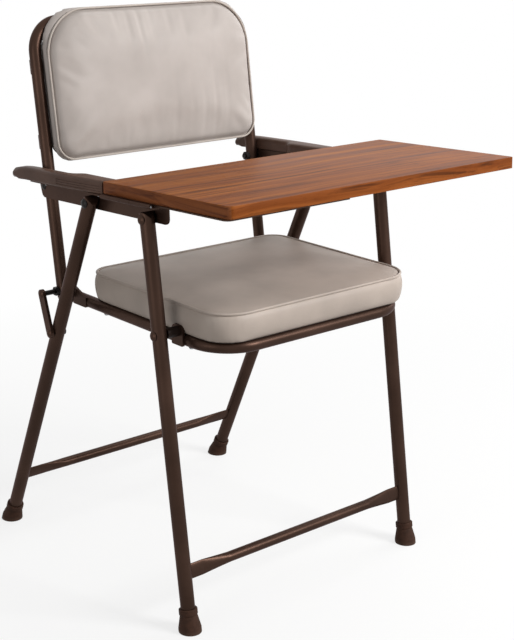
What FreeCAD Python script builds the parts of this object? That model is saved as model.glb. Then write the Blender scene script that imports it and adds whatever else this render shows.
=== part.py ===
import FreeCAD, Part
import math
import os

V = FreeCAD.Vector

# Folding study chair, in millimetres. The sitter faces -Y, +Z is up, and the sitter's left is +X.
# Heights start at the floor. Each side view place is a pair: y along the chair, z up.

# Tube stock
leg_od = 22.0
leg_wall = 1.5
frame_od = 19.0
frame_wall = 1.5
stretcher_od = 16.0

# Stance of the legs and the pivots of the folding linkage
leg_half_spacing = 232.0
front_foot_y = -254.5
rear_foot_y = 254.5
front_pivot_y = -162.0
front_pivot_drop = 17.0
mid_pivot_y = -19.0
mid_pivot_drop = 18.0
rear_pivot_y = 127.0
rear_pivot_drop = 18.0
seat_pivot_z = 447.0
link_pivot_z = 386.0
front_stretcher_z = 89.0
rear_stretcher_z = 96.0

# Clearances
pin_clearance = 0.05
seat_clearance = 0.02
washer_thickness = 0.8
upright_side_gap = 0.5
rail_side_gap = 1.2
link_side_gap = 1.0
face_gap = 0.3

# Arm brackets, pressed from sheet steel, and their pads
arm_rise = 2.5
arm_top_z = 630.0
bracket_sheet = 2.5
bracket_wall_height = 28.0
bracket_rear_y = 140.0
bracket_front_y = -196.0
bracket_rear_rake = 8.0
bracket_corner_radius = 9.0
flange_width = 18.5
pad_thickness = 20.0
pad_outer_overhang = 5.0
pad_inner_overhang = 14.0
pad_rear_y = 197.0
pad_step_y = 30.0
pad_step_length = 14.0
pad_step_radius = 8.0
pad_nose_radius = 11.0
pad_rear_drop = 5.0
pad_slope_length = 70.0
pad_slope_radius = 120.0
pad_tip_radius = 11.0
pad_tip_low_radius = 3.5
pad_edge_radius = 5.0
pad_screw_ys = (105.0, -38.0)

# Writing board, its steel plate and its hinge
board_width = 575.0
board_depth = 292.0
board_thickness = 18.0
board_flange_inset = 3.2
board_rear_y = -55.0
board_corner_radius = 10.0
board_small_radius = 3.0
board_pad_gap = 0.5
board_plate_thickness = 2.0
board_plate_width = 226.0
board_plate_edge = 3.0
board_plate_setback = 2.0
board_hinge_outset = 8.5
knuckle_radius = 3.2
hinge_pin_radius = 1.6
knuckle_count = 5
knuckle_length = 24.0
knuckle_gap = 0.4
knuckle_start = 8.0
buffer_radius = 7.0
buffer_ys = (-82.0, -176.0)
board_screw_reaches = (29.0, 121.0, 207.0)
board_screw_inset = 34.0

# Seat frame, board and cushion
seat_rail_drop = 13.5
seat_rail_rear_y = 84.0
seat_front_y = -284.0
seat_rear_y = 48.0
seat_bow_radius = 62.0
seat_frame_setback = 10.0
seat_side_gap = 2.7
seat_front_radius = 52.0
seat_rear_radius = 28.0
seat_board_thickness = 9.0
seat_board_inset = 5.0
seat_band_height = 44.0
seat_crown = 10.0
seat_bottom_inset = 4.0
seat_bottom_turn = 6.0
seat_side_draw = 2.5
seat_welt_height = 4.0
seat_crown_insets = (5.0, 20.0, 50.0, 90.0)
seat_screw_ys = (10.0, -205.0)

# Seat lugs
lug_sheet = 4.0
hinge_lug_radius = 11.0
hinge_lug_length = 32.0
pivot_lug_half_width = 13.0
pivot_lug_radius = 9.0
lug_foot_drop = 8.0

# Back frame, board and cushion, measured up the leaning frame
back_top_drop = 17.0
back_bow_radius = 46.0
back_tail = 11.0
cushion_arm_gap = 33.0
cushion_height = 235.0
cushion_tube_overlap = 2.3
cushion_top_radius = 66.0
cushion_top_taper = 5.0
cushion_bottom_radius = 30.0
cushion_band_front = 24.0
cushion_crown = 11.0
cushion_rear_inset = 3.0
cushion_rear_turn = 4.0
cushion_side_draw = 1.4
cushion_welt_depth = 5.0
cushion_crown_insets = (6.0, 22.0, 50.0, 85.0)
core_gap = 2.2
core_rear = 1.5
core_bottom_inset = 5.0
core_top_radius = 42.0
back_board_thickness = 8.0
back_board_inset = 3.0
tab_heights = (35.0, 151.0)
tab_reach = 32.0
tab_height = 22.0
tab_sheet = 2.5
tab_screw_inset = 24.0

# Links between the hinge bolts and the rear legs
link_sheet = 5.0
link_half_width = 7.5

# Rivets, bolts, nuts and screws
pivot_radius = 4.0
pivot_head_radius = 7.5
pivot_head_height = 3.5
inner_head_height = 2.5
link_rivet_radius = 3.5
link_head_radius = 6.5
link_head_height = 3.0
arm_bolt_head_radius = 6.0
nut_flats = 13.0
nut_thickness = 6.0
bolt_proud = 3.0
screw_radius = 2.0
screw_head_radius = 4.0
screw_head_height = 2.2
screw_bite = 7.0
bush_radius = 8.0

# Rubber feet
foot_floor = 6.0
foot_height = 36.0
foot_base_radius = 17.5
foot_neck_radius = 13.6
foot_groove_radius = 13.0
foot_collar_radius = 14.2
foot_flare_height = 24.0
foot_rim_height = 6.0
foot_sole_reach = 12.0

# Stretcher ends, flattened where they meet the legs
stretcher_flat_height = 24.0
stretcher_flat_thickness = 5.4
stretcher_flat_length = 24.0
stretcher_taper_length = 50.0

# Plugs in the open tube ends
plug_flange = 2.5
plug_insert = 4.0

# Places worked out from the sizes above
leg_radius = leg_od / 2
frame_radius = frame_od / 2
frame_bore = frame_radius - frame_wall
bracket_outer_x = leg_half_spacing - leg_radius - washer_thickness
bracket_inner_x = bracket_outer_x - bracket_sheet
upright_x = bracket_inner_x - upright_side_gap - frame_radius
upright_inner_x = upright_x - frame_radius
rail_x = upright_inner_x - rail_side_gap - frame_radius
seat_half_width = upright_inner_x - seat_side_gap
cushion_half_width = upright_inner_x + cushion_tube_overlap
leg_outer_x = leg_half_spacing + leg_radius
link_inner_x = leg_outer_x + link_side_gap
link_outer_x = link_inner_x + link_sheet
flange_outer_x = bracket_inner_x + flange_width
front_pivot_z = arm_top_z - front_pivot_drop
mid_pivot_z = arm_top_z - mid_pivot_drop
rear_pivot_z = arm_top_z - rear_pivot_drop
front_slope = (front_pivot_y - front_foot_y) / front_pivot_z
rear_slope = (mid_pivot_y - rear_foot_y) / mid_pivot_z
seat_pivot_y = front_foot_y + front_slope * seat_pivot_z
link_pivot_y = rear_foot_y + rear_slope * link_pivot_z
hinge_y = rear_pivot_y + seat_pivot_y - front_pivot_y
hinge_z = rear_pivot_z + seat_pivot_z - front_pivot_z
back_lean = math.degrees(math.atan2(rear_pivot_y - hinge_y, rear_pivot_z - hinge_z))
cushion_bottom_rise = math.hypot(rear_pivot_y - hinge_y, rear_pivot_z - hinge_z) + cushion_arm_gap
cushion_top_rise = cushion_bottom_rise + cushion_height
back_top_rise = cushion_top_rise - back_top_drop
seat_rail_z = seat_pivot_z - seat_rail_drop
board_bottom_z = arm_top_z + board_plate_thickness
board_front_y = board_rear_y - board_depth
board_near_x = board_flange_inset - flange_outer_x
board_far_x = board_near_x + board_width
board_hinge_x = board_near_x - board_hinge_outset

nodes = {}


# Shape helpers

def along_x(radius, start, end, y, z):
    return Part.makeCylinder(radius, end - start, V(start, y, z), V(1, 0, 0))


def mirrored(shape):
    return shape.mirror(V(0, 0, 0), V(1, 0, 0))


def pair(shape):
    return Part.makeCompound([shape, mirrored(shape)])


def add_sides(name, shape):
    nodes[name + "_left"] = shape
    nodes[name + "_right"] = mirrored(shape)


def plan(z):
    return lambda point: V(point.x, point.y, z)


def side_view(x):
    return lambda point: V(x, point.x, point.y)


def outline(corners, place):
    # A closed wire of straight runs, with a tangent arc at each corner: (u, v, radius), 0 for a sharp one.
    turns = []
    for index, (u, v, radius) in enumerate(corners):
        corner = V(u, v, 0)
        back = (V(*corners[index - 1][:2], 0) - corner).normalize()
        ahead = (V(*corners[(index + 1) % len(corners)][:2], 0) - corner).normalize()
        half_turn = back.getAngle(ahead) / 2
        reach = radius / math.tan(half_turn)
        inward = (back + ahead).normalize() * (radius / math.sin(half_turn) - radius)
        turns.append((corner + back * reach, corner + inward, corner + ahead * reach))
    edges = []
    for index, (start, middle, end) in enumerate(turns):
        if corners[index][2] > 0:
            edges.append(Part.Arc(place(start), place(middle), place(end)).toShape())
        following = turns[(index + 1) % len(turns)][0]
        if (following - end).Length > 0.001:
            edges.append(Part.LineSegment(place(end), place(following)).toShape())
    return Part.Wire(edges)


def plate(corners, place, thickness):
    return Part.Face(outline(corners, place)).extrude(thickness)


def rounded_box(half_width, low, high, low_radius, high_radius, inset, taper=0.0):
    reach = half_width - inset
    high_reach = reach - taper
    low_turn = max(low_radius - inset, 2.0)
    high_turn = max(high_radius - inset, 2.0)
    return [(-reach, low + inset, low_turn), (reach, low + inset, low_turn),
            (high_reach, high - inset, high_turn), (-high_reach, high - inset, high_turn)]


def layered(levels, corners_at):
    # A closed solid lofted through outlines at rising levels, each set in by its own amount.
    wires = [outline(corners_at(inset), plan(level)) for level, inset in levels]
    return Part.makeLoft(wires, True, True)


def crown_levels(start, height, insets):
    # The rounded top of a cushion: it rises fast at the seam and flattens towards the middle.
    shares = (0.3, 0.65, 0.9, 1.0)
    return [(start + share * height, inset) for share, inset in zip(shares, insets)]


def dome(base_x, tip_x, radius, y, z):
    # A low round head whose flat base is at base_x and whose crown is at tip_x.
    height = abs(tip_x - base_x)
    ball = (radius ** 2 + height ** 2) / (2 * height)
    half_angle = math.asin(radius / ball) / 2
    outward = math.copysign(1, tip_x - base_x)
    middle_x = tip_x - outward * ball * (1 - math.cos(half_angle))
    base, rim, tip = V(base_x, y, z), V(base_x, y, z + radius), V(tip_x, y, z)
    middle = V(middle_x, y, z + ball * math.sin(half_angle))
    edges = [Part.LineSegment(tip, base).toShape(), Part.LineSegment(base, rim).toShape(),
             Part.Arc(rim, middle, tip).toShape()]
    return Part.Face(Part.Wire(edges)).revolve(base, V(1, 0, 0), 360)


def hex_nut(start, end, y, z):
    reach = nut_flats / math.sqrt(3)
    points = []
    for step in range(7):
        angle = math.radians(60 * step)
        points.append(V(start, y + reach * math.cos(angle), z + reach * math.sin(angle)))
    blank = Part.Face(Part.makePolygon(points)).extrude(V(end - start, 0, 0))
    return blank.cut(along_x(pivot_radius + seat_clearance, start, end, y, z))


def screw(seat, direction, length):
    # A pan-head screw: the head stands below the seat and the shank runs along the direction.
    shank = Part.makeCylinder(screw_radius, length, seat, direction)
    head_base = seat - direction * screw_head_height
    head = Part.makeCone(screw_head_radius * 0.7, screw_head_radius, screw_head_height, head_base, direction)
    return shank.fuse(head).removeSplitter()


def screw_hole(seat, direction, length):
    return Part.makeCylinder(screw_radius + seat_clearance, length, seat, direction)


def tube(points, radii, outer, wall):
    # A bent tube: straight runs with a tangent arc of the given radius at each inner point.
    edges = []
    start = points[0]
    for index, radius in enumerate(radii):
        corner = points[index + 1]
        back = (points[index] - corner).normalize()
        ahead = (points[index + 2] - corner).normalize()
        half_turn = back.getAngle(ahead) / 2
        reach = radius / math.tan(half_turn)
        inward = (back + ahead).normalize() * (radius / math.sin(half_turn) - radius)
        edges.append(Part.LineSegment(start, corner + back * reach).toShape())
        edges.append(Part.Arc(corner + back * reach, corner + inward, corner + ahead * reach).toShape())
        start = corner + ahead * reach
    edges.append(Part.LineSegment(start, points[-1]).toShape())
    path = Part.Wire(edges)
    heading = points[1] - points[0]

    def swept(radius):
        profile = Part.Wire(Part.makeCircle(radius, points[0], heading))
        return path.makePipeShell([profile], True, False)

    return swept(outer).cut(swept(outer - wall)), swept(outer)


def tube_plug(end, outward):
    flange = Part.makeCylinder(frame_radius - frame_wall / 2, plug_flange, end, outward)
    insert = Part.makeCylinder(frame_bore - seat_clearance, plug_insert, end - outward * plug_insert, outward)
    return flange.fuse(insert).removeSplitter()


# Legs and feet

def leg_frame(foot_y, pivot_y, pivot_z):
    tilt = -math.degrees(math.atan2(pivot_y - foot_y, pivot_z))
    return FreeCAD.Placement(V(leg_half_spacing, foot_y, 0), FreeCAD.Rotation(V(1, 0, 0), tilt))


def placed(shape, frame):
    moved = shape.copy()
    moved.transformShape(frame.toMatrix(), True)
    return moved


def leg_core(foot_y, pivot_y, pivot_z):
    # The leg's outer cylinder, used to cut what butts against it.
    length = math.hypot(pivot_y - foot_y, pivot_z)
    return placed(Part.makeCylinder(leg_radius, length), leg_frame(foot_y, pivot_y, pivot_z))


def make_leg(foot_y, pivot_y, pivot_z, cross_y, cross_z, cross_radius):
    # A straight tube with a closed round tip about its top pivot and one more pin through it.
    length = math.hypot(pivot_y - foot_y, pivot_z)
    body = Part.makeCylinder(leg_radius, length - foot_floor, V(0, 0, foot_floor))
    tip_blank = Part.makeCylinder(leg_radius, leg_radius, V(0, 0, length))
    tip_round = Part.makeCylinder(leg_radius, leg_od, V(-leg_radius, 0, length), V(1, 0, 0))
    closed_length = leg_radius * 1.7
    bore_length = length - foot_floor - closed_length
    bore = Part.makeCylinder(leg_radius - leg_wall, bore_length, V(0, 0, foot_floor))
    leg = body.fuse(tip_blank.common(tip_round)).removeSplitter().cut(bore)
    leg = placed(leg, leg_frame(foot_y, pivot_y, pivot_z))
    inner, outer = leg_half_spacing - leg_od, leg_half_spacing + leg_od
    leg = leg.cut(along_x(pivot_radius + pin_clearance, inner, outer, pivot_y, pivot_z))
    return leg.cut(along_x(cross_radius, inner, outer, cross_y, cross_z))


def make_foot(foot_y, pivot_y, pivot_z):
    bore = leg_radius + seat_clearance
    rim = foot_height - 1
    groove = foot_flare_height + 1
    collar = groove + 1.5
    profile = [(0, -foot_sole_reach), (foot_base_radius, -foot_sole_reach), (foot_base_radius, foot_rim_height),
               (foot_neck_radius, foot_flare_height), (foot_groove_radius, groove),
               (foot_groove_radius, collar), (foot_collar_radius, collar + 1), (foot_collar_radius, rim),
               (foot_collar_radius - 1, foot_height), (bore, foot_height), (bore, foot_floor), (0, foot_floor)]
    points = [V(radius, 0, height) for radius, height in profile + profile[:1]]
    bell = Part.Face(Part.makePolygon(points)).revolve(V(0, 0, 0), V(0, 0, 1), 360)
    bell = placed(bell, leg_frame(foot_y, pivot_y, pivot_z))
    reach = foot_base_radius * 3
    below = Part.makeBox(reach, reach, reach, V(leg_half_spacing - reach / 2, foot_y - reach / 2, -reach))
    return bell.cut(below)


def make_stretcher(foot_y, pivot_y, pivot_z, height):
    # A round tube whose ends are flattened upright and welded to the two legs.
    y = foot_y + (pivot_y - foot_y) * height / pivot_z
    tilt = -math.degrees(math.atan2(pivot_y - foot_y, pivot_z))
    flat_end = leg_half_spacing
    flat_start = leg_half_spacing - leg_radius - stretcher_flat_length
    round_end = flat_start - stretcher_taper_length
    middle = along_x(stretcher_od / 2, -round_end, round_end, y, height)
    circle = Part.Wire(Part.makeCircle(stretcher_od / 2, V(round_end, y, height), V(1, 0, 0)))

    def flat_wire(x):
        tall, thin = stretcher_flat_height / 2, stretcher_flat_thickness / 2
        ellipse = Part.Ellipse(V(0, 0, tall), V(0, thin, 0), V(0, 0, 0))
        wire = Part.Wire(ellipse.toShape())
        turn = FreeCAD.Placement(V(x, y, height), FreeCAD.Rotation(V(1, 0, 0), tilt))
        return placed(wire, turn)

    taper = Part.makeLoft([circle, flat_wire(flat_start)], True, True)
    flat = Part.Face(flat_wire(flat_start)).extrude(V(flat_end - flat_start, 0, 0))
    core = leg_core(foot_y, pivot_y, pivot_z)
    end = taper.fuse(flat).cut(core)
    return middle.fuse([end, mirrored(end)]).removeSplitter()


front_leg_line = (front_foot_y, front_pivot_y, front_pivot_z)
rear_leg_line = (rear_foot_y, mid_pivot_y, mid_pivot_z)
seat_pin_hole = pivot_radius + seat_clearance
link_pin_hole = link_rivet_radius + seat_clearance
add_sides("front_leg", make_leg(*front_leg_line, seat_pivot_y, seat_pivot_z, seat_pin_hole))
add_sides("rear_leg", make_leg(*rear_leg_line, link_pivot_y, link_pivot_z, link_pin_hole))
add_sides("front_foot", make_foot(*front_leg_line))
add_sides("rear_foot", make_foot(*rear_leg_line))
nodes["front_stretcher"] = make_stretcher(*front_leg_line, front_stretcher_z)
nodes["rear_stretcher"] = make_stretcher(*rear_leg_line, rear_stretcher_z)


# Arms: the brackets and pads are drawn level and then tilted, so that they rise to the front

def tilted(shape):
    moved = shape.copy()
    moved.rotate(V(0, board_rear_y, arm_top_z), V(1, 0, 0), -arm_rise)
    return moved


def make_bracket():
    low = arm_top_z - bracket_wall_height
    corners = [(bracket_rear_y, arm_top_z, 1.0), (bracket_front_y, arm_top_z, 1.0),
               (bracket_front_y, low, bracket_corner_radius),
               (bracket_rear_y - bracket_rear_rake, low, bracket_corner_radius)]
    wall = plate(corners, side_view(bracket_inner_x), V(bracket_sheet, 0, 0))
    flange = Part.makeBox(flange_width, bracket_rear_y - bracket_front_y, bracket_sheet,
                          V(bracket_inner_x, bracket_front_y, arm_top_z - bracket_sheet))
    bracket = tilted(wall.fuse(flange).removeSplitter())
    for y, z, gap in ((front_pivot_y, front_pivot_z, seat_clearance), (mid_pivot_y, mid_pivot_z, seat_clearance),
                      (rear_pivot_y, rear_pivot_z, pin_clearance)):
        bracket = bracket.cut(along_x(pivot_radius + gap, bracket_inner_x - 1, bracket_outer_x + 1, y, z))
    for seat in pad_screw_seats():
        bracket = bracket.cut(tilted(screw_hole(seat, V(0, 0, 1), bracket_sheet)))
    return bracket


def pad_screw_seats():
    middle = bracket_outer_x + (flange_outer_x - bracket_outer_x) / 2
    return [V(middle, y, arm_top_z - bracket_sheet) for y in pad_screw_ys]


def make_pad():
    # A moulded pad, full width beside the board and narrow where it passes outside the upright.
    outer = flange_outer_x + pad_outer_overhang
    narrow = bracket_inner_x + upright_side_gap
    wide = bracket_inner_x - pad_inner_overhang
    front = board_rear_y + board_pad_gap
    corners = [(narrow, pad_rear_y, pad_nose_radius), (outer, pad_rear_y, pad_nose_radius),
               (outer, front, 0), (wide, front, 0),
               (wide, pad_step_y, pad_step_radius), (narrow, pad_step_y + pad_step_length, pad_step_radius)]
    blank = plate(corners, plan(arm_top_z), V(0, 0, pad_thickness))
    top = arm_top_z + pad_thickness
    rounded = []
    for edge in blank.Edges:
        on_top = edge.BoundBox.ZMin > top - 0.01
        at_board = edge.BoundBox.YMax < front + 0.01
        if on_top and not at_board:
            rounded.append(edge)
    side = [(pad_rear_y, arm_top_z, pad_tip_low_radius), (pad_rear_y, top - pad_rear_drop, pad_tip_radius),
            (pad_rear_y - pad_slope_length, top, pad_slope_radius), (front, top, 0), (front, arm_top_z, 0)]
    profile = plate(side, side_view(wide - pad_edge_radius), V(outer - wide + pad_edge_radius * 2, 0, 0))
    pad = blank.makeFillet(pad_edge_radius, rounded).common(profile)
    for seat in pad_screw_seats():
        pad = pad.cut(screw_hole(seat, V(0, 0, 1), bracket_sheet + screw_bite))
    return tilted(pad)


def knuckles(first):
    # Every second knuckle of the board hinge, as (start y, end y) towards the front.
    spans = []
    for index in range(first, knuckle_count, 2):
        start = board_rear_y - knuckle_start - index * (knuckle_length + knuckle_gap)
        spans.append((start - knuckle_length, start))
    return spans


def barrel(spans, web_x, web_low, web_thickness):
    # Rolled knuckles about the hinge axis, each joined to its leaf by a web.
    pieces = []
    for low, high in spans:
        roll = Part.makeCylinder(knuckle_radius, high - low, V(board_hinge_x, low, arm_top_z), V(0, 1, 0))
        web = Part.makeBox(web_x - board_hinge_x, high - low, web_thickness, V(board_hinge_x, low, web_low))
        bore = Part.makeCylinder(hinge_pin_radius + pin_clearance, high - low,
                                 V(board_hinge_x, low, arm_top_z), V(0, 1, 0))
        pieces.append(roll.fuse(web).cut(bore))
    return pieces


bracket = make_bracket()
add_sides("arm_bracket", bracket)
fixed_knuckles = barrel(knuckles(0), -flange_outer_x, arm_top_z - bracket_sheet, bracket_sheet)
fixed_knuckles = [tilted(piece) for piece in fixed_knuckles]
nodes["arm_bracket_right"] = mirrored(bracket).fuse(fixed_knuckles).removeSplitter()
add_sides("arm_pad", make_pad())
pad_screws = [tilted(screw(seat, V(0, 0, 1), bracket_sheet + screw_bite)) for seat in pad_screw_seats()]
nodes["arm_pad_screws"] = Part.makeCompound(pad_screws + [mirrored(piece) for piece in pad_screws])

leg_pins = []
leg_washers = []
for y, z in ((front_pivot_y, front_pivot_z), (mid_pivot_y, mid_pivot_z)):
    shank = along_x(pivot_radius, bracket_inner_x, leg_outer_x, y, z)
    outer_head = dome(leg_outer_x, leg_outer_x + pivot_head_height, pivot_head_radius, y, z)
    inner_head = dome(bracket_inner_x, bracket_inner_x - inner_head_height, pivot_head_radius, y, z)
    leg_pins.append(shank.fuse([outer_head, inner_head]).removeSplitter())
    ring = along_x(pivot_head_radius, bracket_outer_x, bracket_outer_x + washer_thickness, y, z)
    leg_washers.append(ring.cut(along_x(pivot_radius + seat_clearance, bracket_outer_x, leg_outer_x, y, z)))
nodes["front_leg_rivets"] = pair(leg_pins[0])
nodes["rear_leg_rivets"] = pair(leg_pins[1])
nodes["leg_washers"] = Part.makeCompound(leg_washers + [mirrored(ring) for ring in leg_washers])


# Writing board on its hinged steel plate

def board_screw_seats():
    seats = []
    for reach in board_screw_reaches:
        for y in (board_rear_y - board_screw_inset, board_front_y + board_screw_inset):
            seats.append(V(board_near_x + reach, y, arm_top_z))
    return seats


def make_board():
    corners = [(board_near_x, board_rear_y, board_small_radius), (board_near_x, board_front_y, board_corner_radius),
               (board_far_x, board_front_y, board_small_radius), (board_far_x, board_rear_y, board_small_radius)]
    board = plate(corners, plan(board_bottom_z), V(0, 0, board_thickness))
    for seat in board_screw_seats():
        board = board.cut(screw_hole(seat, V(0, 0, 1), board_plate_thickness + screw_bite))
    return tilted(board)


def make_board_plate():
    near = board_near_x - board_plate_edge
    corners = [(near, board_rear_y - board_plate_setback, board_small_radius),
               (near, board_front_y + board_plate_setback, board_corner_radius),
               (near + board_plate_width, board_front_y + board_plate_setback, board_small_radius),
               (near + board_plate_width, board_rear_y - board_plate_setback, board_small_radius)]
    sheet = plate(corners, plan(arm_top_z), V(0, 0, board_plate_thickness))
    for seat in board_screw_seats():
        sheet = sheet.cut(screw_hole(seat, V(0, 0, 1), board_plate_thickness))
    rolls = barrel(knuckles(1), near, arm_top_z, board_plate_thickness)
    return tilted(sheet.fuse(rolls).removeSplitter())


nodes["writing_board"] = make_board()
nodes["board_plate"] = make_board_plate()
board_screw_length = board_plate_thickness + screw_bite
nodes["board_screws"] = Part.makeCompound(
    [tilted(screw(seat, V(0, 0, 1), board_screw_length)) for seat in board_screw_seats()])
pin_front_y = knuckles(0)[-1][0]
pin_length = knuckles(0)[0][1] - pin_front_y
nodes["board_hinge_pin"] = tilted(Part.makeCylinder(hinge_pin_radius, pin_length,
                                                    V(board_hinge_x, pin_front_y, arm_top_z), V(0, 1, 0)))
buffer_x = bracket_outer_x + (flange_outer_x - bracket_outer_x) / 2
buffer_height = board_plate_thickness - seat_clearance
nodes["board_buffers"] = Part.makeCompound(
    [tilted(Part.makeCylinder(buffer_radius, buffer_height, V(buffer_x, y, arm_top_z))) for y in buffer_ys])


# Seat: a bent tube frame with lugs, a plywood board and a boxed cushion

seat_bottom_z = seat_rail_z + frame_radius + face_gap
seat_bow_y = seat_front_y + seat_frame_setback
seat_path = [V(-rail_x, seat_rail_rear_y, seat_rail_z), V(-rail_x, seat_bow_y, seat_rail_z),
             V(rail_x, seat_bow_y, seat_rail_z), V(rail_x, seat_rail_rear_y, seat_rail_z)]
seat_tube, seat_tube_core = tube(seat_path, [seat_bow_radius] * 2, frame_radius, frame_wall)
rail_tail = Part.makeCylinder(frame_radius, plug_flange, V(rail_x, seat_rail_rear_y, seat_rail_z), V(0, 1, 0))
seat_screw_seats = [V(rail_x, y, seat_rail_z - frame_radius) for y in seat_screw_ys]
seat_screw_length = frame_od + face_gap + screw_bite


def seat_corners(inset):
    return rounded_box(seat_half_width, seat_front_y, seat_rear_y, seat_front_radius, seat_rear_radius, inset)


def make_seat_cushion():
    welt = seat_band_height - seat_welt_height
    levels = [(0, seat_bottom_inset), (seat_bottom_turn, seat_side_draw / 2), (seat_band_height / 2, seat_side_draw),
              (welt, seat_side_draw / 4), (seat_band_height, 0)]
    levels += crown_levels(seat_band_height, seat_crown, seat_crown_insets)
    cushion = layered([(seat_bottom_z + level, inset) for level, inset in levels], seat_corners)
    pocket = plate(seat_corners(seat_board_inset - face_gap), plan(seat_bottom_z - 1),
                   V(0, 0, seat_board_thickness + face_gap + 1))
    return cushion.cut(pocket)


def make_hinge_lug():
    foot_low, foot_high = seat_rail_z - lug_foot_drop, seat_rail_z + lug_foot_drop
    foot_y = seat_rail_rear_y - hinge_lug_length
    top_y, radius = hinge_y + hinge_lug_radius, hinge_lug_radius - 1
    corners = [(foot_y, foot_low, 2), (seat_rail_rear_y + plug_flange, foot_low, 6),
               (top_y, hinge_z - hinge_lug_radius / 2, radius / 2), (top_y, hinge_z + hinge_lug_radius, radius),
               (hinge_y - hinge_lug_radius, hinge_z + hinge_lug_radius, radius / 2), (foot_y, foot_high, 2)]
    inner = upright_inner_x - face_gap - lug_sheet
    lug = plate(corners, side_view(inner), V(lug_sheet, 0, 0)).cut([seat_tube_core, rail_tail])
    return lug.cut(along_x(pivot_radius + pin_clearance, inner, inner + lug_sheet, hinge_y, hinge_z))


pivot_lug_inner_x = seat_half_width + face_gap * 2
pivot_lug_outer_x = pivot_lug_inner_x + lug_sheet


def make_pivot_lug():
    low, high = seat_rail_z - lug_foot_drop, seat_pivot_z + pivot_lug_radius + 1
    corners = [(seat_pivot_y - pivot_lug_half_width, low, 2), (seat_pivot_y + pivot_lug_half_width, low, 2),
               (seat_pivot_y + pivot_lug_half_width, high, pivot_lug_radius),
               (seat_pivot_y - pivot_lug_half_width, high, pivot_lug_radius)]
    lug = plate(corners, side_view(pivot_lug_inner_x), V(lug_sheet, 0, 0)).cut(seat_tube_core)
    hole = pivot_radius + pin_clearance
    return lug.cut(along_x(hole, pivot_lug_inner_x, pivot_lug_outer_x, seat_pivot_y, seat_pivot_z))


seat_board = plate(seat_corners(seat_board_inset), plan(seat_bottom_z), V(0, 0, seat_board_thickness))
seat_screws = []
for seat in seat_screw_seats:
    hole = screw_hole(seat, V(0, 0, 1), seat_screw_length)
    seat_tube = seat_tube.cut([hole, mirrored(hole)])
    seat_board = seat_board.cut([hole, mirrored(hole)])
    seat_screws.append(screw(seat, V(0, 0, 1), seat_screw_length))
nodes["seat_frame"] = seat_tube
nodes["seat_board"] = seat_board
nodes["seat_cushion"] = make_seat_cushion()
add_sides("seat_hinge_lug", make_hinge_lug())
add_sides("seat_pivot_lug", make_pivot_lug())
nodes["seat_screws"] = Part.makeCompound(seat_screws + [mirrored(piece) for piece in seat_screws])
nodes["seat_frame_plugs"] = pair(tube_plug(V(rail_x, seat_rail_rear_y, seat_rail_z), V(0, 1, 0)))

seat_pin = along_x(pivot_radius, pivot_lug_inner_x, leg_outer_x, seat_pivot_y, seat_pivot_z)
seat_pin_head = dome(leg_outer_x, leg_outer_x + pivot_head_height, pivot_head_radius, seat_pivot_y, seat_pivot_z)
nodes["seat_rivets"] = pair(seat_pin.fuse(seat_pin_head).removeSplitter())
bush_start = pivot_lug_outer_x + face_gap
bush_end = leg_half_spacing - leg_radius
bush = along_x(bush_radius, bush_start, bush_end, seat_pivot_y, seat_pivot_z)
nodes["seat_bushes"] = pair(bush.cut(along_x(seat_pin_hole, bush_start, bush_end, seat_pivot_y, seat_pivot_z)))


# Back: drawn flat, X across, Y up the frame from the seat hinge and Z to the front, then leaned

back_frame_place = FreeCAD.Placement(V(0, hinge_y, hinge_z), FreeCAD.Rotation(V(1, 0, 0), 90 - back_lean))


def leaned(shape):
    return placed(shape, back_frame_place)


def cushion_corners(inset):
    return rounded_box(cushion_half_width, cushion_bottom_rise, cushion_top_rise,
                       cushion_bottom_radius, cushion_top_radius, inset, cushion_top_taper)


core_half_width = upright_inner_x - core_gap
core_top_rise = back_top_rise - frame_radius - core_gap


def core_corners(inset):
    return rounded_box(core_half_width, cushion_bottom_rise + core_bottom_inset, core_top_rise,
                       cushion_bottom_radius, core_top_radius, inset)


def make_back_cushion():
    # The core sits inside the bent tube, and the front pad stands over the tube's front.
    pad_rear = frame_radius + face_gap
    levels = [(pad_rear, cushion_rear_inset), (pad_rear + cushion_rear_turn, cushion_side_draw / 2),
              (cushion_band_front - cushion_welt_depth, cushion_side_draw), (cushion_band_front, 0)]
    levels += crown_levels(cushion_band_front, cushion_crown, cushion_crown_insets)
    pad = layered(levels, cushion_corners)
    core = plate(core_corners(0), plan(-core_rear), V(0, 0, core_rear + pad_rear))
    return pad.fuse(core).removeSplitter()


upright_foot = -back_tail
back_path = [V(-upright_x, upright_foot, 0), V(-upright_x, back_top_rise, 0),
             V(upright_x, back_top_rise, 0), V(upright_x, upright_foot, 0)]
back_tube, back_tube_core = tube(back_path, [back_bow_radius] * 2, frame_radius, frame_wall)
back_tube = leaned(back_tube)
for y, z in ((rear_pivot_y, rear_pivot_z), (hinge_y, hinge_z)):
    hole = along_x(pivot_radius + seat_clearance, upright_inner_x - 1, bracket_inner_x, y, z)
    back_tube = back_tube.cut([hole, mirrored(hole)])
nodes["back_frame"] = back_tube
nodes["back_frame_plugs"] = pair(leaned(tube_plug(V(upright_x, upright_foot, 0), V(0, -1, 0))))

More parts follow.
